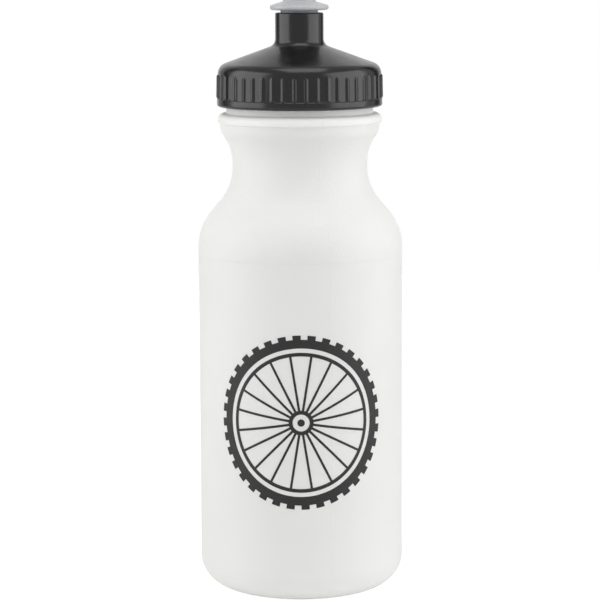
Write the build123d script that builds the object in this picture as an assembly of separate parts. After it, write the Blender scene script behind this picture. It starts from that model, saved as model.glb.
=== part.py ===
from build123d import *
from math import atan2, cos, degrees, radians, sin, tan
import os

# A squeeze water bottle for a bicycle cage: a blow-moulded body, a screw cap, the cap's seal
# and a push-pull spout. Lengths are millimetres and angles are degrees.
# The bottle stands on z = 0 with its axis on Z, and the side that carries the print faces -Y.
# Names: _r is a radius from the axis, _bend the radius of a rounding, _z a height, _turn an angle.

# Bottle body: base and straight wall
body_r = 36.75
wall = 1.15
foot_r = 23.95
foot_inner_r = 21.0
corner_rise = 11.4
floor_r = 15.0
floor_z = 2.4
straight_top_z = 124.0

# Bottle body: shoulder, finger waist, and flare up to the neck
shoulder_bend = 20.0
shoulder_turn = 40.2
waist_r = 24.2
waist_bend = 18.7
waist_z = 153.0
waist_top_z = 154.5
flare_bend = 17.0
flare_turn = 35.5
flare_top_bend = 6.5

# Bottle body: bead under the cap, threaded neck and mouth
bead_r = 29.4
bead_low_z = 168.9
bead_top_z = 172.3
bead_low_bend = 0.6
bead_top_bend = 1.2
collar_r = 26.3
collar_top_z = 175.4
neck_r = 25.95
mouth_r = 24.3
mouth_low_z = 171.2
rim_z = 187.0
rim_bend = 0.5

# Thread between neck and cap: right-hand, single start
lead = 5.0
thread_root_width = 2.2
thread_crest_width = 1.0
neck_crest_r = 27.1
cap_crest_r = 26.25
neck_thread_z = 178.0
neck_thread_turns = 1.35
cap_thread_turns = 1.25
flank_shift = 1.6
cap_thread_lag = 25.0
thread_root_sink = 0.3

# Seal between rim and cap roof
seal_thickness = 1.6
seal_inner_r = 23.9
seal_outer_r = 27.2

# Screw cap: outside
cap_low_z = 174.7
band_r = 29.63
band_top_z = 177.4
band_bend = 1.0
skirt_low_r = 29.43
skirt_top_r = 29.25
cap_shoulder_z = 186.35
cap_shoulder_bend = 4.0
cone_slope = 20.0
cone_foot_bend = 3.0
tube_r = 8.65
tube_top_z = 208.0
tube_edge_bend = 0.5

# Screw cap: grip ribs
rib_count = 47
rib_half_width = 1.0
rib_low_z = 177.6
rib_top_z = 186.0
rib_low_r = 29.85
rib_top_r = 29.66
front_groove_turn = -89.6

# Screw cap: inside
skirt_inner_r = 27.45
plug_outer_r = 23.6
plug_inner_r = 22.5
plug_low_z = 184.6
roof_thickness = 1.6
guide_outer_r = 8.9
guide_low_z = 190.0
ledge_r = 6.4
ledge_z = 196.0
bore_r = 7.3
lip_r = 6.9
lip_z = 206.0
post_r = 2.45
post_top_z = 213.0
post_tip_bend = 0.6
web_count = 3
web_thickness = 1.6
web_top_z = 193.5

# Pull spout
stem_r = 6.7
stem_bore_r = 5.2
barb_r = 7.2
barb_top_z = 199.7
flange_r = 10.55
flange_low_z = 208.95
flange_edge_bend = 0.83
flange_slope = 18.0
nub_foot_bend = 0.9
nub_r = 5.8
nub_top_z = 215.2
nub_top_bend = 1.6
drink_hole_r = 2.55
drink_hole_z = 211.8


def turned(edges):
    """The solid turned about Z from a closed outline of (radius, height) edges."""
    return revolve(Plane.XZ * make_face(edges), Axis.Z)


def point_on(centre_r, centre_z, bend, turn):
    """The (radius, height) point of a circle at an angle counted from the outward direction."""
    return (centre_r + bend * cos(radians(turn)), centre_z + bend * sin(radians(turn)))


def body_wall(inset):
    """The body's wall line from the axis at the base up to the bead, moved inwards by inset."""
    step = foot_inner_r - floor_r
    step_bend = (step**2 + floor_z**2) / (4 * floor_z)
    step_turn = degrees(2 * atan2(floor_z, step))
    floor_arc = CenterArc((floor_r, floor_z - step_bend), step_bend + inset, 90, -step_turn)
    foot_arc = CenterArc((foot_inner_r, step_bend), step_bend - inset, 270 - step_turn, step_turn)
    corner_centre = (foot_r, corner_rise)
    corner_run = body_r - foot_r - inset
    corner = EllipticalCenterArc(corner_centre, corner_run, corner_rise - inset, 270, arc_size=90)
    shoulder_centre = (body_r - shoulder_bend, straight_top_z)
    shoulder = CenterArc(shoulder_centre, shoulder_bend - inset, 0, shoulder_turn)
    waist_centre = (waist_r + waist_bend, waist_z)
    waist = CenterArc(waist_centre, waist_bend + inset, 180 + shoulder_turn, -shoulder_turn)
    flare_centre = (waist_r + flare_bend, waist_top_z)
    flare = CenterArc(flare_centre, flare_bend + inset, 180, -flare_turn)
    flare_end = point_on(*flare_centre, flare_bend, 180 - flare_turn)
    crown_centre = point_on(*flare_end, flare_top_bend, 180 - flare_turn)
    crown = CenterArc(crown_centre, flare_top_bend - inset, -flare_turn, flare_turn)
    return [
        Line((0, floor_z + inset), floor_arc @ 0),
        floor_arc,
        foot_arc,
        Line(foot_arc @ 1, corner @ 0),
        corner,
        Line(corner @ 1, shoulder @ 0),
        shoulder,
        Line(shoulder @ 1, waist @ 0),
        waist,
        Line(waist @ 1, flare @ 0),
        flare,
        crown,
    ]


def neck_outside(start):
    """The line from the top of the flare over the bead and collar to the rim's inner edge."""
    bead_low = CenterArc((bead_r - bead_low_bend, bead_low_z + bead_low_bend), bead_low_bend, 270, 90)
    bead_top = CenterArc((bead_r - bead_top_bend, bead_top_z - bead_top_bend), bead_top_bend, 0, 90)
    rim_outer = CenterArc((neck_r - rim_bend, rim_z - rim_bend), rim_bend, 0, 90)
    rim_inner = CenterArc((mouth_r + rim_bend, rim_z - rim_bend), rim_bend, 90, 90)
    taper_top = (neck_r, collar_top_z + collar_r - neck_r)
    return [
        Polyline(start, (start.X, bead_low_z), bead_low @ 0),
        bead_low,
        Line(bead_low @ 1, bead_top @ 0),
        bead_top,
        Polyline(bead_top @ 1, (collar_r, bead_top_z), (collar_r, collar_top_z), taper_top, rim_outer @ 0),
        rim_outer,
        Line(rim_outer @ 1, rim_inner @ 0),
        rim_inner,
    ]


def thread(root_r, crest_r, low_z, turns, start_turn):
    """A helical rib of trapezoidal section, whose flanks run on a little into its wall."""
    depth = abs(crest_r - root_r)
    flank = (thread_root_width - thread_crest_width) / 2 / depth
    sunk_r = root_r + thread_root_sink * (root_r - crest_r) / depth
    half_sunk = thread_root_width / 2 + flank * thread_root_sink
    half_crest = thread_crest_width / 2
    section = make_face(
        Polyline(
            (sunk_r, low_z - half_sunk),
            (crest_r, low_z - half_crest),
            (crest_r, low_z + half_crest),
            (sunk_r, low_z + half_sunk),
            close=True,
        )
    )
    path = Helix(lead, lead * turns, sunk_r, center=(0, 0, low_z))
    return Rot(0, 0, start_turn) * sweep(Plane.XZ * section, path, is_frenet=True)


def bottle_body():
    outside = body_wall(0)
    inside = body_wall(wall)
    neck = neck_outside(outside[-1] @ 1)
    mouth = Polyline(neck[-1] @ 1, (mouth_r, mouth_low_z), inside[-1] @ 1)
    axis_line = Line(inside[0] @ 0, outside[0] @ 0)
    shell = turned([*outside, *neck, mouth, *inside, axis_line])
    return shell + thread(neck_r, neck_crest_r, neck_thread_z, neck_thread_turns, 0)


def cap_seal_ring():
    ring = Cylinder(seal_outer_r, seal_thickness, align=(Align.CENTER, Align.CENTER, Align.MIN))
    hole = Cylinder(seal_inner_r, seal_thickness, align=(Align.CENTER, Align.CENTER, Align.MIN))
    return Pos(0, 0, rim_z) * (ring - hole)


def cap_shell():
    """The cap without its ribs, thread and post, turned as one wall."""
    seat_z = rim_z + seal_thickness
    shoulder_centre = (skirt_top_r - cap_shoulder_bend, cap_shoulder_z)
    shoulder = CenterArc(shoulder_centre, cap_shoulder_bend, 0, 90 - cone_slope)
    cone_top_r = tube_r + cone_foot_bend * (1 - sin(radians(cone_slope)))
    shoulder_end = shoulder @ 1
    cone_top_z = shoulder_end.Y + (shoulder_end.X - cone_top_r) * tan(radians(cone_slope))
    foot_centre = (tube_r + cone_foot_bend, cone_top_z + cone_foot_bend * cos(radians(cone_slope)))
    cone_foot = CenterArc(foot_centre, cone_foot_bend, 270 - cone_slope, cone_slope - 90)
    band_edge = CenterArc((band_r - band_bend, cap_low_z + band_bend), band_bend, 270, 90)
    tube_edge = CenterArc((tube_r - tube_edge_bend, tube_top_z - tube_edge_bend), tube_edge_bend, 0, 90)

    def roof_under_z(radius):
        drop = roof_thickness / cos(radians(cone_slope))
        return cone_top_z - drop - (radius - cone_top_r) * tan(radians(cone_slope))

    outside = [
        band_edge,
        Polyline(band_edge @ 1, (band_r, band_top_z), (skirt_low_r, band_top_z), shoulder @ 0),
        shoulder,
        Line(shoulder @ 1, cone_foot @ 0),
        cone_foot,
        Line(cone_foot @ 1, tube_edge @ 0),
        tube_edge,
    ]
    inside = Polyline(
        tube_edge @ 1,
        (lip_r, tube_top_z),
        (lip_r, lip_z + bore_r - lip_r),
        (bore_r, lip_z),
        (bore_r, ledge_z),
        (ledge_r, ledge_z),
        (ledge_r, guide_low_z),
        (guide_outer_r, guide_low_z),
        (guide_outer_r, roof_under_z(guide_outer_r)),
        (plug_inner_r, roof_under_z(plug_inner_r)),
        (plug_inner_r, plug_low_z),
        (plug_outer_r, plug_low_z),
        (plug_outer_r, seat_z),
        (skirt_inner_r, seat_z),
        (skirt_inner_r, cap_low_z),
        band_edge @ 0,
    )
    return turned([*outside, inside])


def grip_ribs():
    """Upright round-topped ribs around the skirt, leaning out slightly with its draft."""
    low_axis_r = rib_low_r - rib_half_width
    top_axis_r = rib_top_r - rib_half_width
    height = rib_top_z - rib_low_z
    lean = degrees(atan2(low_axis_r - top_axis_r, height))
    bar = Cylinder(rib_half_width, height, align=(Align.CENTER, Align.CENTER, Align.MIN))
    rib = bar + Pos(0, 0, height) * Sphere(rib_half_width)
    rib = Pos(low_axis_r, 0, rib_low_z) * Rot(0, -lean, 0) * rib
    pitch = 360 / rib_count
    first_turn = front_groove_turn + pitch / 2
    return [Rot(0, 0, first_turn + number * pitch) * rib for number in range(rib_count)]


def sealing_post():
    """The fixed post that closes the spout's drinking hole, and the webs that hold it."""
    post = Pos(0, 0, guide_low_z) * Cylinder(
        post_r, post_top_z - guide_low_z, align=(Align.CENTER, Align.CENTER, Align.MIN)
    )
    post = chamfer(post.edges().group_by(Axis.Z)[-1], post_tip_bend)
    reach = (ledge_r + guide_outer_r) / 2
    web = Pos(0, 0, guide_low_z) * Box(
        reach,
        web_thickness,
        web_top_z - guide_low_z,
        align=(Align.MIN, Align.CENTER, Align.MIN),
    )
    webs = [Rot(0, 0, 90 + number * 360 / web_count) * web for number in range(web_count)]
    return [post, *webs]


def screw_cap():
    cap_thread_z = neck_thread_z - flank_shift + lead * cap_thread_lag / 360
    cap_thread = thread(skirt_inner_r, cap_crest_r, cap_thread_z, cap_thread_turns, cap_thread_lag)
    return cap_shell() + [*grip_ribs(), *sealing_post(), cap_thread]


def pull_spout():
    """A hollow stem that slides in the cap's tube, with a pull flange and a drinking nub."""
    barb_step = barb_r - stem_r
    edge_centre = (flange_r - flange_edge_bend, flange_low_z + flange_edge_bend)
    flange_edge = CenterArc(edge_centre, flange_edge_bend, 270, 180 - flange_slope)
    nub_foot_r = nub_r + nub_foot_bend
    edge_end = flange_edge @ 1
    flange_top_z = edge_end.Y + (edge_end.X - nub_foot_r) * tan(radians(flange_slope))
    nub_foot = CenterArc((nub_foot_r, flange_top_z + nub_foot_bend), nub_foot_bend, 270, -90)
    nub_top = CenterArc((nub_r - nub_top_bend, nub_top_z - nub_top_bend), nub_top_bend, 0, 90)
    outside = [
        Polyline(
            (stem_bore_r, ledge_z),
            (stem_r, ledge_z),
            (barb_r, ledge_z + barb_step),
            (barb_r, barb_top_z - barb_step),
            (stem_r, barb_top_z),
            (stem_r, flange_low_z),
            flange_edge @ 0,
        ),
        flange_edge,
        Line(flange_edge @ 1, nub_foot @ 0),
        nub_foot,
        Line(nub_foot @ 1, nub_top @ 0),
        nub_top,
    ]
    inside = Polyline(
        nub_top @ 1,
        (drink_hole_r, nub_top_z),
        (drink_hole_r, drink_hole_z),
        (stem_bore_r, drink_hole_z - (stem_bore_r - drink_hole_r)),
        (stem_bore_r, ledge_z),
    )
    return turned([*outside, inside])


os.makedirs("parts", exist_ok=True)
for make in (bottle_body, cap_seal_ring, screw_cap, pull_spout):
    export_step(make(), f"parts/{make.__name__}.step")
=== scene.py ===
import math

import bmesh
import bpy
import numpy as np
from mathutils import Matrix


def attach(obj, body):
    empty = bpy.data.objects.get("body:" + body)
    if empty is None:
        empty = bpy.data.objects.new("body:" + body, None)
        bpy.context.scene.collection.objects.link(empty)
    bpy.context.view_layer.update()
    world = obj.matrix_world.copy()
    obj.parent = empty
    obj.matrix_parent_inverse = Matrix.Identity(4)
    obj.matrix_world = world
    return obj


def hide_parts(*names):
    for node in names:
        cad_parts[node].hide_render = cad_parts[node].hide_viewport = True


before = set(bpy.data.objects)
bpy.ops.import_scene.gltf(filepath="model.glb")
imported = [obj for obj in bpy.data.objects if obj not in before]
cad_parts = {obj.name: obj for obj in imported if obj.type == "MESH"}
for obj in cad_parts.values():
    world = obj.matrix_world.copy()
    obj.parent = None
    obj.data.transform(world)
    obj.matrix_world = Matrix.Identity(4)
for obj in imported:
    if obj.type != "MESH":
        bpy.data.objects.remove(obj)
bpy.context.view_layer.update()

# The looks of a squeeze water bottle for a bicycle cage.
# Outlines are (radius, height) pairs in millimetres and angles are degrees, in the frame's own
# axes: the bottle stands on z = 0 with its axis on Z, and the print faces -Y. Meshes are in metres.
# Names: _r is a radius from the axis, _bend a rounding's radius, _z a height, _turn an angle.

MM = 0.001

# ---------------------------------------------------------------- sizes, as in the CAD model
# The bead's top and the flange's edge are a little rounder here than in the CAD, and the ribs
# have softer flanks.

# Bottle body
body_r = 36.75
wall = 1.15
foot_r = 23.95
foot_inner_r = 21.0
corner_rise = 11.4
floor_r = 15.0
floor_z = 2.4
panel_low_z = 17.0
panel_top_z = 122.0
panel_depth = 0.03
panel_low_ramp = 1.0
panel_top_ramp = 0.4
panel_margin = 3.0
straight_top_z = 124.0
shoulder_bend = 20.0
shoulder_turn = 40.2
waist_r = 24.2
waist_bend = 18.7
waist_z = 153.0
waist_top_z = 154.5
flare_bend = 17.0
flare_turn = 35.5
flare_top_bend = 6.5
bead_r = 29.4
bead_low_z = 168.9
bead_top_z = 172.3
bead_low_bend = 0.6
bead_top_bend = 2.2
collar_foot_bend = 0.4
collar_r = 26.3
collar_top_z = 175.4
neck_r = 25.95
mouth_r = 24.3
mouth_low_z = 171.2
rim_z = 187.0
rim_bend = 0.5

# Thread
lead = 5.0
thread_root_width = 2.2
thread_crest_width = 1.0
neck_crest_r = 27.1
cap_crest_r = 26.25
neck_thread_z = 178.0
neck_thread_turns = 1.35
cap_thread_turns = 1.25
flank_shift = 1.6
cap_thread_lag = 25.0
thread_fade_turn = 22.0
neck_match = 0.01

# Seal
seal_thickness = 1.6
seal_inner_r = 23.9
seal_outer_r = 27.2
seal_bend = 0.35

# Screw cap
cap_low_z = 174.7
band_r = 29.63
band_top_z = 177.4
band_bend = 1.0
band_step_rise = 0.2
skirt_low_r = 29.43
skirt_top_r = 29.25
skirt_top_rise = 0.6
cap_shoulder_z = 186.35
cap_shoulder_bend = 4.0
cap_shoulder_turn = 8.0
cone_slope = 20.0
cone_foot_bend = 3.0
tube_r = 8.65
tube_top_z = 208.0
tube_edge_bend = 0.5
tube_edge_margin = 2.0
rib_count = 47
rib_height = 0.42
rib_foot_half_width = 0.95
rib_crest_half_width = 0.15
rib_low_z = 177.45
rib_end_rise = 0.6
rib_arch_z = 185.4
front_groove_turn = -89.6
skirt_inner_r = 27.45
skirt_inner_run = 0.2
skirt_inner_rise = 0.1
plug_outer_r = 23.6
plug_inner_r = 22.5
plug_low_z = 184.6
plug_inner_run = 0.3
plug_inner_rise = 0.5
plug_outer_run = 0.5
plug_outer_rise = 0.8
roof_thickness = 1.6
guide_outer_r = 8.9
guide_low_z = 190.0
ledge_r = 6.4
ledge_z = 196.0
bore_r = 7.3
lip_r = 6.9
lip_z = 206.0
lip_bend = 0.3
post_r = 2.45
post_top_z = 213.0
post_tip_bend = 0.6
post_foot_chamfer = 0.3
web_count = 3
web_thickness = 1.6
web_top_z = 193.5
web_inner_r = 1.47
web_outer_r = 7.0
web_rise = 0.05

# Pull spout
stem_r = 6.7
stem_bore_r = 5.2
barb_r = 7.2
barb_top_z = 199.7
stem_top_run = 0.4
stem_top_step = 0.12
flange_r = 10.55
flange_low_z = 208.95
flange_edge_bend = 0.95
flange_slope = 16.0
nub_foot_bend = 0.9
nub_r = 5.8
nub_top_z = 215.2
nub_top_bend = 1.6
drink_hole_r = 2.55
drink_hole_bend = 0.5
drink_hole_z = 211.8


# ---------------------------------------------------------------- outlines


def arc(centre_r, centre_z, bend, start, turn, steps, rise=None):
    """Points along a circle, or along an ellipse when its upright half-axis, rise, differs."""
    turns = [math.radians(start + turn * i / steps) for i in range(steps + 1)]
    rise = bend if rise is None else rise
    return [(centre_r + bend * math.cos(a), centre_z + rise * math.sin(a)) for a in turns]


def straight(start, end, steps):
    """Points between two others, both left out."""
    shares = [i / steps for i in range(1, steps)]
    return [tuple(a + (b - a) * share for a, b in zip(start, end)) for share in shares]


def joined(*stretches):
    """One outline from stretches of points, without the points that repeat."""
    outline = []
    for point in (point for stretch in stretches for point in stretch):
        if not outline or math.dist(point, outline[-1]) > 1e-6:
            outline.append(point)
    return outline


def body_wall(inset, panel):
    """The body's wall from the axis at the base up to the bead, moved inwards by inset.

    panel says whether the straight part holds the shallow recess for the print.
    """
    step = foot_inner_r - floor_r
    step_bend = (step**2 + floor_z**2) / (4 * floor_z)
    step_turn = math.degrees(2 * math.atan2(floor_z, step))
    corner_run = body_r - foot_r - inset
    wall_r = body_r - inset
    straight_low, straight_top = (wall_r, corner_rise), (wall_r, straight_top_z)
    panel_r = wall_r - panel_depth
    panel_low, panel_top = (panel_r, panel_low_z + panel_margin), (panel_r, panel_top_z - panel_margin)
    recess = [
        (wall_r, panel_low_z - panel_low_ramp),
        (wall_r, panel_low_z),
        (panel_r, panel_low_z + panel_low_ramp),
        panel_low,
        *straight(panel_low, panel_top, 8),
        panel_top,
        (panel_r, panel_top_z - panel_top_ramp),
        (wall_r, panel_top_z),
        (wall_r, panel_top_z + panel_top_ramp),
    ]
    flare_centre = (waist_r + flare_bend, waist_top_z)
    flare_end = arc(*flare_centre, flare_bend, 180, -flare_turn, 1)[-1]
    crown_centre = arc(*flare_end, flare_top_bend, 180 - flare_turn, 0, 1)[0]
    return joined(
        [(0, floor_z + inset)],
        straight((0, floor_z + inset), (floor_r, floor_z + inset), 4),
        arc(floor_r, floor_z - step_bend, step_bend + inset, 90, -step_turn, 8),
        arc(foot_inner_r, step_bend, step_bend - inset, 270 - step_turn, step_turn, 8),
        arc(foot_r, corner_rise, corner_run, 270, 90, 28, rise=corner_rise - inset),
        recess if panel else straight(straight_low, straight_top, 4),
        arc(body_r - shoulder_bend, straight_top_z, shoulder_bend - inset, 0, shoulder_turn, 16),
        arc(waist_r + waist_bend, waist_z, waist_bend + inset, 180 + shoulder_turn, -shoulder_turn, 16),
        arc(*flare_centre, flare_bend + inset, 180, -flare_turn, 14),
        arc(*crown_centre, flare_top_bend - inset, -flare_turn, flare_turn, 8),
    )


def neck_outside(crown_r):
    """The line from the bead over the collar and the threaded neck to the rim's inner edge."""
    taper_top = (neck_r, collar_top_z + collar_r - neck_r)
    rim_foot = (neck_r, rim_z - rim_bend)
    return joined(
        [(crown_r, bead_low_z)],
        arc(bead_r - bead_low_bend, bead_low_z + bead_low_bend, bead_low_bend, 270, 90, 5),
        arc(bead_r - bead_top_bend, bead_top_z - bead_top_bend, bead_top_bend, 0, 90, 6),
        arc(collar_r + collar_foot_bend, bead_top_z + collar_foot_bend, collar_foot_bend, 270, -90, 4),
        [(collar_r, collar_top_z), taper_top],
        straight(taper_top, rim_foot, 44),
        arc(neck_r - rim_bend, rim_z - rim_bend, rim_bend, 0, 90, 4),
        arc(mouth_r + rim_bend, rim_z - rim_bend, rim_bend, 90, 90, 4),
    )


def cone_top():
    """The (radius, height) where the cap's cone meets the fillet at the foot of its tube."""
    slope = math.radians(cone_slope)
    shoulder_end_r = skirt_top_r - cap_shoulder_bend * (1 - math.sin(slope))
    shoulder_end_z = cap_shoulder_z + cap_shoulder_bend * math.cos(slope)
    top_r = tube_r + cone_foot_bend * (1 - math.sin(slope))
    return top_r, shoulder_end_z + (shoulder_end_r - top_r) * math.tan(slope)


def roof_under_z(radius):
    """The height of the cone's underside at a radius."""
    top_r, top_z = cone_top()
    slope = math.radians(cone_slope)
    return top_z - roof_thickness / math.cos(slope) - (radius - top_r) * math.tan(slope)


# ---------------------------------------------------------------- shapes that aren't round


def smooth(share):
    """A 0 to 1 ramp with soft ends."""
    share = np.clip(share, 0, 1)
    return share * share * (3 - 2 * share)


def thread_rise(angle, z, low_z, turns, start_turn, depth):
    """How far a single-start thread stands out at each point, fading away at its two ends."""
    first = np.mod(angle - math.radians(start_turn), 2 * math.pi)
    end = turns * 2 * math.pi
    fade = math.radians(thread_fade_turn)
    rise = np.zeros_like(z)
    for lap in range(math.ceil(turns)):
        along = first + lap * 2 * math.pi
        off = np.abs(z - low_z - lead * along / (2 * math.pi))
        section = np.clip((thread_root_width / 2 - off) / (thread_root_width - thread_crest_width) * 2, 0, 1)
        ends = smooth(along / fade) * smooth((end - along) / fade)
        rise = np.maximum(rise, depth * section * ends * (along <= end))
    return rise


def rib_rise(angle, z):
    """How far the ribs stand out, as a share of their height: each ends in a round arch at the top."""
    pitch = 2 * math.pi / rib_count
    from_rib = np.mod(angle - math.radians(front_groove_turn), pitch) - pitch / 2
    off = np.hypot(from_rib * skirt_low_r, np.maximum(z - rib_arch_z, 0))
    flank = smooth((rib_foot_half_width - off) / (rib_foot_half_width - rib_crest_half_width))
    return flank * smooth((z - rib_low_z) / rib_end_rise)


# ---------------------------------------------------------------- meshes

sharp_edge_turn = 35.0
body_columns = 240
seal_columns = 192
rib_columns = 12
post_columns = 48
spout_columns = 128


def turned(outline, columns, closed=False, shape=None):
    """Points and faces turned about Z from an outline that keeps the material on its left.

    shape(radii, heights, angles) returns the radii to use, for threads and ribs.
    """
    rows = len(outline)
    angle = np.tile(np.arange(columns) * 2 * math.pi / columns, (rows, 1))
    radius = np.tile(np.array(outline)[:, :1], (1, columns))
    z = np.tile(np.array(outline)[:, 1:], (1, columns))
    if shape:
        radius = shape(radius, z, angle)
    points = np.stack([radius * np.cos(angle), radius * np.sin(angle), z], axis=-1).reshape(-1, 3) * MM
    faces = []
    for i in range(rows if closed else rows - 1):
        low, high = i * columns, (i + 1) % rows * columns
        for j in range(columns):
            k = (j + 1) % columns
            faces.append((low + j, low + k, high + k, high + j))
    return points.tolist(), faces


def block(low, high, turn):
    """Points and faces of a box between two corners, turned about Z."""
    corners = [(x, y, z) for z in (low[2], high[2]) for y in (low[1], high[1]) for x in (low[0], high[0])]
    c, s = math.cos(math.radians(turn)), math.sin(math.radians(turn))
    points = [((x * c - y * s) * MM, (x * s + y * c) * MM, z * MM) for x, y, z in corners]
    faces = [(0, 2, 3, 1), (4, 5, 7, 6), (0, 1, 5, 4), (2, 6, 7, 3), (0, 4, 6, 2), (1, 3, 7, 5)]
    return points, faces


def make_piece(name, body, material, parts, replaces=None):
    """One object from (points, faces) parts, smooth but for its sharp edges, riding on a body."""
    points, faces = [], []
    for part_points, part_faces in parts:
        faces += [tuple(i + len(points) for i in face) for face in part_faces]
        points += part_points
    mesh = bpy.data.meshes.new(name)
    mesh.from_pydata(points, [], faces)
    mesh.validate()
    piece = bpy.data.objects.new(name, mesh)
    bpy.context.scene.collection.objects.link(piece)
    merge_poles(mesh)
    mesh.shade_smooth()
    mesh.set_sharp_from_angle(angle=math.radians(sharp_edge_turn))
    mesh.materials.append(material)
    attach(piece, body)
    if replaces:
        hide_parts(replaces)
    return piece


def merge_poles(mesh):
    """Joins the points of a row that lies on the axis."""
    work = bmesh.new()
    work.from_mesh(mesh)
    on_axis = [v for v in work.verts if math.hypot(v.co.x, v.co.y) < 1e-7]
    bmesh.ops.remove_doubles(work, verts=on_axis, dist=1e-6)
    work.to_mesh(mesh)
    work.free()


def bottle_shell(material):
    """The blow-moulded body: its wall outside and inside, and the thread on its neck."""
    outside = body_wall(0, panel=True)
    outside = joined(outside, neck_outside(outside[-1][0]))
    mouth_low, mouth_top = (mouth_r, mouth_low_z), (mouth_r, rim_z - rim_bend)
    inside = joined(body_wall(wall, panel=False), [mouth_low], straight(mouth_low, mouth_top, 4))

    def shape(radius, z, angle):
        on_neck = np.abs(radius - neck_r) < neck_match
        rise = thread_rise(angle, z, neck_thread_z, neck_thread_turns, 0, neck_crest_r - neck_r)
        return radius + rise * on_neck

    outline = joined(outside, inside[::-1])
    parts = [turned(outline, body_columns, shape=shape)]
    return make_piece("bottle_shell", "bottle", material, parts, "bottle_body")


def seal_ring(material):
    """The soft ring that the cap's roof presses on the rim."""
    top_z = rim_z + seal_thickness
    outline = joined(
        arc(seal_outer_r - seal_bend, rim_z + seal_bend, seal_bend, 270, 90, 3),
        arc(seal_outer_r - seal_bend, top_z - seal_bend, seal_bend, 0, 90, 3),
        arc(seal_inner_r + seal_bend, top_z - seal_bend, seal_bend, 90, 90, 3),
        arc(seal_inner_r + seal_bend, rim_z + seal_bend, seal_bend, 180, 90, 3),
    )
    parts = [turned(outline, seal_columns, closed=True)]
    return make_piece("seal_ring", "seal", material, parts, "cap_seal_ring")


def cap_outline():
    """The cap's wall outline, with the row numbers of its ribbed skirt and threaded inside.

    It runs from the lower edge up the outside, down the tube's bore and the plug ring, and down
    the inside of the skirt.
    """
    seat_z = rim_z + seal_thickness
    top_r, top_z = cone_top()
    tilt = math.radians(cone_slope)
    foot_z = top_z + cone_foot_bend * math.cos(tilt)
    skirt_low = (skirt_low_r, band_top_z + band_step_rise)
    skirt_top = (skirt_top_r, cap_shoulder_z + skirt_top_rise)
    edge = arc(band_r - band_bend, cap_low_z + band_bend, band_bend, 270, 90, 7)
    band_top = [(band_r, band_top_z - 2 * band_step_rise), (band_r, band_top_z)]
    skirt = [*band_top, skirt_low, *straight(skirt_low, skirt_top, 30)]
    shoulder_centre = (skirt_top_r - cap_shoulder_bend, cap_shoulder_z)
    shoulder_sweep = 90 - cone_slope - cap_shoulder_turn
    shoulder = arc(*shoulder_centre, cap_shoulder_bend, cap_shoulder_turn, shoulder_sweep, 12)
    above = joined(
        shoulder,
        straight(shoulder[-1], (top_r, top_z), 4),
        arc(tube_r + cone_foot_bend, foot_z, cone_foot_bend, 270 - cone_slope, cone_slope - 90, 10),
        [(tube_r, tube_top_z - tube_edge_bend - tube_edge_margin)],
        arc(tube_r - tube_edge_bend, tube_top_z - tube_edge_bend, tube_edge_bend, 0, 90, 5),
        arc(lip_r + lip_bend, tube_top_z - lip_bend, lip_bend, 90, 90, 3),
        [
            (lip_r, lip_z + bore_r - lip_r),
            (bore_r, lip_z),
            (bore_r, ledge_z),
            (ledge_r, ledge_z),
            (ledge_r, guide_low_z),
            (guide_outer_r, guide_low_z),
            (guide_outer_r, roof_under_z(guide_outer_r)),
            (plug_inner_r, roof_under_z(plug_inner_r)),
            (plug_inner_r, plug_low_z + plug_inner_rise),
            (plug_inner_r + plug_inner_run, plug_low_z),
            (plug_outer_r - plug_outer_run, plug_low_z),
            (plug_outer_r, plug_low_z + plug_outer_rise),
            (plug_outer_r, seat_z),
            (skirt_inner_r, seat_z),
        ],
    )
    inside = straight((skirt_inner_r, seat_z), (skirt_inner_r, cap_low_z), 44)
    end = [(skirt_inner_r, cap_low_z + skirt_inner_rise), (skirt_inner_r + skirt_inner_run, cap_low_z)]
    skirt_rows = slice(len(edge), len(edge) + len(skirt))
    inside_start = skirt_rows.stop + len(above)
    inside_rows = slice(inside_start, inside_start + len(inside))
    return [*edge, *skirt, *above, *inside, *end], skirt_rows, inside_rows


def cap_moulding(material):
    """The screw cap: one wall with ribs and thread, the sealing post and the webs that hold it."""
    outline, skirt_rows, inside_rows = cap_outline()
    thread_z = neck_thread_z - flank_shift + lead * cap_thread_lag / 360
    depth = skirt_inner_r - cap_crest_r

    def shape(radius, z, angle):
        radius[skirt_rows] += rib_height * rib_rise(angle[skirt_rows], z[skirt_rows])
        inside_z, inside_angle = z[inside_rows], angle[inside_rows]
        radius[inside_rows] -= thread_rise(
            inside_angle, inside_z, thread_z, cap_thread_turns, cap_thread_lag, depth
        )
        return radius

    post = joined(
        [(0, guide_low_z), (post_r - post_foot_chamfer, guide_low_z)],
        [(post_r, guide_low_z + post_foot_chamfer)],
        [(post_r, post_top_z - post_tip_bend)],
        arc(post_r - post_tip_bend, post_top_z - post_tip_bend, post_tip_bend, 0, 90, 4),
        [(0, post_top_z)],
    )
    web_low = (web_inner_r, -web_thickness / 2, guide_low_z + web_rise)
    web_high = (web_outer_r, web_thickness / 2, web_top_z)
    webs = [block(web_low, web_high, 90 + 360 * i / web_count) for i in range(web_count)]
    shell = turned(outline, rib_count * rib_columns, closed=True, shape=shape)
    parts = [shell, turned(post, post_columns), *webs]
    return make_piece("cap_moulding", "cap", material, parts, "screw_cap")


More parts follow.
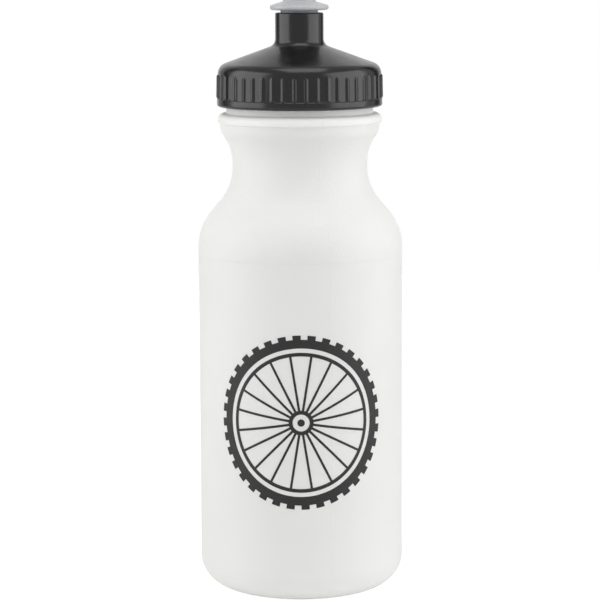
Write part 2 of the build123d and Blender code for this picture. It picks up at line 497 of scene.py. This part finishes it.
def spout_moulding(material):
    """The push-pull spout: stem with its barb, pull flange and drinking nub."""
    barb_step = barb_r - stem_r
    edge_centre = (flange_r - flange_edge_bend, flange_low_z + flange_edge_bend)
    edge = arc(*edge_centre, flange_edge_bend, 270, 180 - flange_slope, 14)
    nub_foot_r = nub_r + nub_foot_bend
    flange_top_z = edge[-1][1] + (edge[-1][0] - nub_foot_r) * math.tan(math.radians(flange_slope))
    nub_foot = (nub_foot_r, flange_top_z)
    outline = joined(
        [
            (stem_bore_r, ledge_z),
            (stem_r, ledge_z),
            (barb_r, ledge_z + barb_step),
            (barb_r, barb_top_z - barb_step),
            (stem_r, barb_top_z),
            (stem_r, flange_low_z - stem_top_run),
            (stem_r + stem_top_step, flange_low_z - stem_top_step),
            (stem_r + stem_top_run, flange_low_z),
        ],
        edge,
        straight(edge[-1], nub_foot, 4),
        arc(nub_foot_r, flange_top_z + nub_foot_bend, nub_foot_bend, 270, -90, 8),
        arc(nub_r - nub_top_bend, nub_top_z - nub_top_bend, nub_top_bend, 0, 90, 8),
        arc(drink_hole_r + drink_hole_bend, nub_top_z - drink_hole_bend, drink_hole_bend, 90, 90, 4),
        [
            (drink_hole_r, drink_hole_z),
            (stem_bore_r, drink_hole_z - (stem_bore_r - drink_hole_r)),
        ],
    )
    parts = [turned(outline, spout_columns, closed=True)]
    return make_piece("spout_moulding", "spout", material, parts, "pull_spout")


# ---------------------------------------------------------------- printed graphic

badge_z = 66.0
badge_r = 31.0
tyre_width = 3.1
knob_count = 36
knob_depth = 1.5
knob_share = 0.55
rim_gap = 1.5
rim_width = 1.3
hub_r = 4.4
hub_ring_width = 1.4
axle_r = 1.3
axle_hole_r = 0.02
spoke_count = 20
spoke_width = 0.85
spoke_overlap = 0.05
spoke_points = 16
print_lift = 0.025
print_sink = 0.05


def strip(inner, outer, closed, across_steps=1):
    """Points and faces of a thin band of ink between two lines of (across, up) points."""
    panel_r = body_r - panel_depth
    shares = [step / across_steps for step in range(across_steps + 1)]
    lines = [(share, print_lift) for share in shares] + [(share, -print_sink) for share in shares[::-1]]
    points = []
    for share, lift in lines:
        radius = (panel_r + lift) * MM
        for (inner_across, inner_up), (outer_across, outer_up) in zip(inner, outer):
            turn = (inner_across + (outer_across - inner_across) * share) / panel_r - math.pi / 2
            up = badge_z + inner_up + (outer_up - inner_up) * share
            points.append((radius * math.cos(turn), radius * math.sin(turn), up * MM))
    count = len(inner)
    faces = []
    for i in range(count if closed else count - 1):
        k = (i + 1) % count
        for side in range(len(lines)):
            here, there = side * count, (side + 1) % len(lines) * count
            faces.append((here + i, there + i, there + k, here + k))
    if not closed:
        faces.append(tuple(side * count for side in reversed(range(len(lines)))))
        faces.append(tuple(side * count + count - 1 for side in range(len(lines))))
    return points, faces


def circle(radius, start=0.0, turn=360.0, steps=180, whole=True):
    """Points around the graphic's middle; a part of a circle keeps its last point too."""
    count = steps if whole else steps + 1
    turns = [math.radians(start + turn * i / steps) for i in range(count)]
    return [(radius * math.cos(a), radius * math.sin(a)) for a in turns]


def printed_graphic(material):
    """A plain bicycle wheel in black ink: knobbly tyre, rim, spokes, hub and axle."""
    tread_r = badge_r - knob_depth
    rim_outer_r = tread_r - tyre_width - rim_gap
    rim_inner_r = rim_outer_r - rim_width
    rings = [
        (tread_r - tyre_width, tread_r),
        (rim_inner_r, rim_outer_r),
        (hub_r - hub_ring_width, hub_r),
        (axle_hole_r, axle_r),
    ]
    parts = [strip(circle(low), circle(high), True, across_steps=4) for low, high in rings]
    knob_turn = 360 / knob_count
    for i in range(knob_count):
        span = {"start": i * knob_turn, "turn": knob_turn * knob_share, "steps": 4, "whole": False}
        parts.append(strip(circle(tread_r, **span), circle(badge_r, **span), False))
    for i in range(spoke_count):
        turn = math.radians((i + 0.5) * 360 / spoke_count)
        along = (math.cos(turn), math.sin(turn))
        lengths = np.linspace(hub_r - spoke_overlap, rim_inner_r + spoke_overlap, spoke_points)
        sides = []
        for half in (-spoke_width / 2, spoke_width / 2):
            shift = (-half * along[1], half * along[0])
            side = [(length * along[0] + shift[0], length * along[1] + shift[1]) for length in lengths]
            sides.append(side)
        parts.append(strip(sides[0], sides[1], False))
    return make_piece("printed_graphic", "bottle", material, parts)


# ---------------------------------------------------------------- materials

parting_turn = -73.0
parting_half_width = 0.35
pebble_edge = 0.3


class Shader:
    """A material being written: its nodes, with the place on the piece to hand."""

    def __init__(self, name):
        self.material = bpy.data.materials.new(name)
        self.material.use_nodes = True
        self.nodes = self.material.node_tree.nodes
        self.surface = self.nodes["Principled BSDF"]
        self.place = self.add("ShaderNodeTexCoord").outputs["Object"]

    def add(self, kind, settings=None, **inputs):
        """A new node with these settings and inputs."""
        node = self.nodes.new(kind)
        for key, value in (settings or {}).items():
            setattr(node, key, value)
        for key, value in inputs.items():
            self.put(node.inputs[key.replace("_", " ")], value)
        return node

    def put(self, socket, value):
        """Links a node's output to the socket, or gives the socket a plain value."""
        if isinstance(value, bpy.types.NodeSocket):
            self.material.node_tree.links.new(value, socket)
        else:
            socket.default_value = value

    def set(self, **inputs):
        """Gives these inputs to the material's own surface shader."""
        for key, value in inputs.items():
            self.put(self.surface.inputs[key.replace("_", " ")], value)

    def noise(self, scale, detail=2.0):
        """Soft cloudy noise, with about scale blobs to the metre."""
        node = self.add("ShaderNodeTexNoise", Vector=self.place, Scale=scale, Detail=detail, Roughness=0.5)
        return node.outputs["Fac"]

    def cells(self, scale):
        """Rounded pebbles, about scale of them to the metre."""
        settings = {"feature": "SMOOTH_F1"}
        node = self.add("ShaderNodeTexVoronoi", settings, Vector=self.place, Scale=scale, Smoothness=0.6)
        return node.outputs["Distance"]

    def spread(self, value, low, high, out_low=0.0, out_high=1.0):
        """value taken from the range low to high on to another range, with soft ends."""
        node = self.add("ShaderNodeMapRange", {"interpolation_type": "SMOOTHSTEP"}, Value=value)
        self.put(node.inputs["From Min"], low)
        self.put(node.inputs["From Max"], high)
        self.put(node.inputs["To Min"], out_low)
        self.put(node.inputs["To Max"], out_high)
        return node.outputs["Result"]

    def math(self, operation, first, second=0.0):
        """The result of one arithmetic step on values or outputs."""
        node = self.add("ShaderNodeMath", {"operation": operation})
        self.put(node.inputs[0], first)
        self.put(node.inputs[1], second)
        return node.outputs["Value"]

    def height(self):
        """The height above the foot, in metres."""
        return self.add("ShaderNodeSeparateXYZ", Vector=self.place).outputs["Z"]

    def blend(self, share, first, second):
        """A colour that goes from the first to the second as share goes from 0 to 1."""
        node = self.add("ShaderNodeMix", {"data_type": "RGBA"})
        self.put(node.inputs[0], share)
        self.put(node.inputs[6], first)
        self.put(node.inputs[7], second)
        return node.outputs[2]

    def bump(self, height, depth_mm, normal=None):
        """A surface raised by height, on top of another bump's normal if one is given."""
        node = self.add("ShaderNodeBump", Strength=1.0, Distance=depth_mm * MM, Height=height)
        if normal:
            self.put(node.inputs["Normal"], normal)
        return node.outputs["Normal"]


def body_plastic():
    """White low-density polyethylene: pebbled above the label panel, smoother on it."""
    shader = Shader("white_polyethylene")
    pebble_low, pebble_top = (panel_top_z - panel_top_ramp) * MM, (panel_top_z + pebble_edge) * MM
    pebbled = shader.spread(shader.height(), pebble_low, pebble_top)
    grain = shader.math("ADD", shader.cells(1150), shader.noise(1700, detail=3))
    grain = shader.math("MULTIPLY", grain, pebbled)
    waves = shader.noise(45, detail=2)
    normal = shader.bump(waves, 0.12)
    normal = shader.bump(shader.noise(2600, detail=2), 0.006, normal)
    normal = shader.bump(grain, 0.07, normal)
    normal = shader.bump(parting_line(shader), 0.05, normal)
    clouds = shader.spread(shader.noise(22, detail=3), 0.3, 0.7)
    colour = shader.blend(clouds, (0.842, 0.838, 0.812, 1), (0.867, 0.863, 0.84, 1))
    roughness = shader.spread(shader.noise(160, detail=3), 0.25, 0.75, 0.42, 0.5)
    roughness = shader.math("ADD", roughness, shader.math("MULTIPLY", pebbled, 0.08))
    shader.set(Base_Color=colour, Roughness=roughness, Normal=normal)
    shader.set(Subsurface_Weight=0.3, Subsurface_Radius=(1.0, 0.95, 0.85), Subsurface_Scale=0.004)
    shader.set(IOR=1.5, Specular_IOR_Level=0.4)
    return shader.material


def parting_line(shader):
    """A hair-thin upright ridge, where the two halves of the blow mould met."""
    turn = math.radians(parting_turn)
    across = shader.add("ShaderNodeVectorMath", {"operation": "DOT_PRODUCT"})
    shader.put(across.inputs[0], shader.place)
    across.inputs[1].default_value = (-math.sin(turn), math.cos(turn), 0)
    off = shader.math("ABSOLUTE", across.outputs["Value"])
    return shader.spread(off, 0.0, parting_half_width * MM, 1.0, 0.0)


def cap_plastic():
    """Black glossy polypropylene with the faintest orange peel and handling marks."""
    shader = Shader("black_polypropylene")
    clouds = shader.noise(60, detail=3)
    colour = shader.blend(clouds, (0.0055, 0.0055, 0.006, 1), (0.008, 0.008, 0.0085, 1))
    roughness = shader.spread(shader.noise(240, detail=4), 0.3, 0.8, 0.2, 0.28)
    normal = shader.bump(shader.noise(500, detail=2), 0.006)
    shader.set(Base_Color=colour, Roughness=roughness, Normal=normal, IOR=1.56)
    return shader.material


def spout_plastic():
    """Blue-grey soft polyethylene that lets a little light in."""
    shader = Shader("grey_soft_polyethylene")
    clouds = shader.spread(shader.noise(120, detail=3), 0.3, 0.7)
    colour = shader.blend(clouds, (0.455, 0.459, 0.475, 1), (0.485, 0.489, 0.505, 1))
    roughness = shader.spread(shader.noise(300, detail=3), 0.3, 0.7, 0.3, 0.38)
    normal = shader.bump(shader.noise(900, detail=2), 0.008)
    shader.set(Base_Color=colour, Roughness=roughness, Normal=normal)
    shader.set(Subsurface_Weight=0.35, Subsurface_Radius=(0.9, 0.95, 1.0), Subsurface_Scale=0.003)
    return shader.material


def seal_rubber():
    """Grey silicone with a fine matt grain."""
    shader = Shader("grey_silicone")
    clouds = shader.noise(150, detail=2)
    colour = shader.blend(clouds, (0.36, 0.37, 0.38, 1), (0.41, 0.42, 0.43, 1))
    roughness = shader.spread(shader.noise(400, detail=2), 0.3, 0.7, 0.55, 0.68)
    normal = shader.bump(shader.noise(3000, detail=2), 0.01)
    shader.set(Base_Color=colour, Roughness=roughness, Normal=normal)
    return shader.material


def print_ink():
    """Black screen-printing ink, a little uneven where the mesh laid it down."""
    shader = Shader("black_ink")
    clouds = shader.noise(900, detail=3)
    colour = shader.blend(clouds, (0.011, 0.0105, 0.0105, 1), (0.018, 0.0175, 0.0175, 1))
    roughness = shader.spread(shader.noise(700, detail=3), 0.3, 0.7, 0.46, 0.58)
    normal = shader.bump(shader.noise(2200, detail=2), 0.008)
    shader.set(Base_Color=colour, Roughness=roughness, Normal=normal)
    return shader.material


# ---------------------------------------------------------------- stage, lights and camera

# Metres, apart from names that end in _mm; light strengths are radiances.
aim_z = 0.12
floor_low_mm = -0.05
floor_near_mm = 300.0
floor_edge_mm = 900.0
floor_columns = 96
floor_grey = 0.82
floor_roughness = 0.7
floor_seen_glow = 0.72
floor_near_glow = 0.2
floor_far_glow = 0.005
floor_near_r = 0.025
floor_far_r = 0.055
world_seen = 1.0
world_lit = 0.51
flag_distance = 1.4
flag_width = 0.42
flag_low_z = -0.35
flag_top_z = 1.2
camera_place = (0.0004, -0.975, 0.23715)
camera_tilt_down = 7.747
camera_roll = 0.264
lens_mm = 163.18
sensor_mm = 36


def floor():
    """A white floor, wide enough to show no edge, a hair below the bottle's foot.

    It glows to the camera, and a little under the bottle to light the foot.
    """
    rings = [(radius, floor_low_mm) for radius in (0, floor_near_mm, floor_edge_mm)]
    points, faces = turned(rings, floor_columns)
    mesh = bpy.data.meshes.new("floor")
    mesh.from_pydata(points, [], [face[::-1] for face in faces])
    merge_poles(mesh)
    material = bpy.data.materials.new("white_floor")
    material.use_nodes = True
    surface = material.node_tree.nodes["Principled BSDF"]
    surface.inputs["Base Color"].default_value = (floor_grey, floor_grey, floor_grey, 1)
    surface.inputs["Roughness"].default_value = floor_roughness
    surface.inputs["Emission Color"].default_value = (1, 1, 1, 1)
    nodes, links = material.node_tree.nodes, material.node_tree.links
    path = nodes.new("ShaderNodeLightPath")
    place = nodes.new("ShaderNodeTexCoord")
    reach = nodes.new("ShaderNodeVectorMath")
    reach.operation = "LENGTH"
    spot = nodes.new("ShaderNodeMapRange")
    spot.inputs["From Min"].default_value = floor_near_r
    spot.inputs["From Max"].default_value = floor_far_r
    spot.inputs["To Min"].default_value = floor_near_glow
    spot.inputs["To Max"].default_value = floor_far_glow
    seen = nodes.new("ShaderNodeMath")
    seen.operation = "MULTIPLY"
    seen.inputs[1].default_value = floor_seen_glow
    glow = nodes.new("ShaderNodeMath")
    glow.operation = "MAXIMUM"
    links.new(place.outputs["Object"], reach.inputs[0])
    links.new(reach.outputs["Value"], spot.inputs["Value"])
    links.new(path.outputs["Is Camera Ray"], seen.inputs[0])
    links.new(seen.outputs[0], glow.inputs[0])
    links.new(spot.outputs["Result"], glow.inputs[1])
    links.new(glow.outputs[0], surface.inputs["Emission Strength"])
    mesh.materials.append(material)
    stage = bpy.data.objects.new("floor", mesh)
    bpy.context.scene.collection.objects.link(stage)


def softbox(name, azimuth, elevation, distance, width, height, radiance):
    """A large plain area light facing the bottle; azimuth counts from the camera's side to +X."""
    turn, rise = math.radians(azimuth), math.radians(elevation)
    lamp = bpy.data.lights.new(name, "AREA")
    lamp.shape = "RECTANGLE"
    lamp.size = width
    lamp.size_y = height
    lamp.energy = radiance * math.pi * width * height
    light = bpy.data.objects.new(name, lamp)
    reach = distance * math.cos(rise)
    light.location = (reach * math.sin(turn), -reach * math.cos(turn), aim_z + distance * math.sin(rise))
    light.rotation_euler = (math.pi / 2 - rise, 0, turn)
    bpy.context.scene.collection.objects.link(light)


def black_flag(name, azimuth):
    """A black board behind and beside the bottle, for the dark streak in the glossy cap's sides."""
    turn = math.radians(azimuth)
    centre = (flag_distance * math.sin(turn), -flag_distance * math.cos(turn))
    along = (math.cos(turn) * flag_width / 2, math.sin(turn) * flag_width / 2)
    ends = [(centre[0] + side * along[0], centre[1] + side * along[1]) for side in (-1, 1)]
    points = [(x, y, z) for z in (flag_low_z, flag_top_z) for x, y in ends]
    mesh = bpy.data.meshes.new(name)
    mesh.from_pydata(points, [], [(0, 1, 3, 2)])
    material = bpy.data.materials.new(name)
    material.use_nodes = True
    surface = material.node_tree.nodes["Principled BSDF"]
    surface.inputs["Base Color"].default_value = (0.002, 0.002, 0.002, 1)
    surface.inputs["Specular IOR Level"].default_value = 0
    mesh.materials.append(material)
    board = bpy.data.objects.new(name, mesh)
    board.visible_camera = False
    bpy.context.scene.collection.objects.link(board)


def surroundings():
    """A white background to look at, which lights the bottle only dimly."""
    world = bpy.data.worlds.new("studio")
    bpy.context.scene.world = world
    world.use_nodes = True
    nodes, links = world.node_tree.nodes, world.node_tree.links
    nodes.clear()
    seen = nodes.new("ShaderNodeBackground")
    seen.inputs["Color"].default_value = (world_seen, world_seen, world_seen, 1)
    lit = nodes.new("ShaderNodeBackground")
    lit.inputs["Color"].default_value = (world_lit, world_lit, world_lit, 1)
    mix = nodes.new("ShaderNodeMixShader")
    path = nodes.new("ShaderNodeLightPath")
    output = nodes.new("ShaderNodeOutputWorld")
    links.new(path.outputs["Is Camera Ray"], mix.inputs[0])
    links.new(lit.outputs[0], mix.inputs[1])
    links.new(seen.outputs[0], mix.inputs[2])
    links.new(mix.outputs[0], output.inputs["Surface"])


def camera():
    """A long lens a metre away, a little above the cap and tilted down."""
    lens = bpy.data.cameras.new("camera")
    lens.sensor_width = sensor_mm
    lens.lens = lens_mm
    view = bpy.data.objects.new("camera", lens)
    view.location = camera_place
    view.rotation_euler = (math.pi / 2 - math.radians(camera_tilt_down), math.radians(camera_roll), 0)
    bpy.context.scene.collection.objects.link(view)
    bpy.context.scene.camera = view


# ---------------------------------------------------------------- the scene

bottle_shell(body_plastic())
seal_ring(seal_rubber())
cap_moulding(cap_plastic())
spout_moulding(spout_plastic())
printed_graphic(print_ink())
floor()
softbox("left_softbox", azimuth=-79, elevation=15, distance=1.5, width=1.7, height=1.4, radiance=1.7)
softbox("right_softbox", azimuth=74, elevation=15, distance=1.5, width=1.8, height=1.4, radiance=1.63)
softbox("overhead_softbox", azimuth=12, elevation=74, distance=1.4, width=1.0, height=1.1, radiance=1.65)
softbox("back_softbox", azimuth=180, elevation=17, distance=1.5, width=1.5, height=1.2, radiance=0.37)
black_flag("left_flag", -126)
black_flag("right_flag", 137)
surroundings()
camera()
bpy.context.scene.view_settings.view_transform = "Standard"
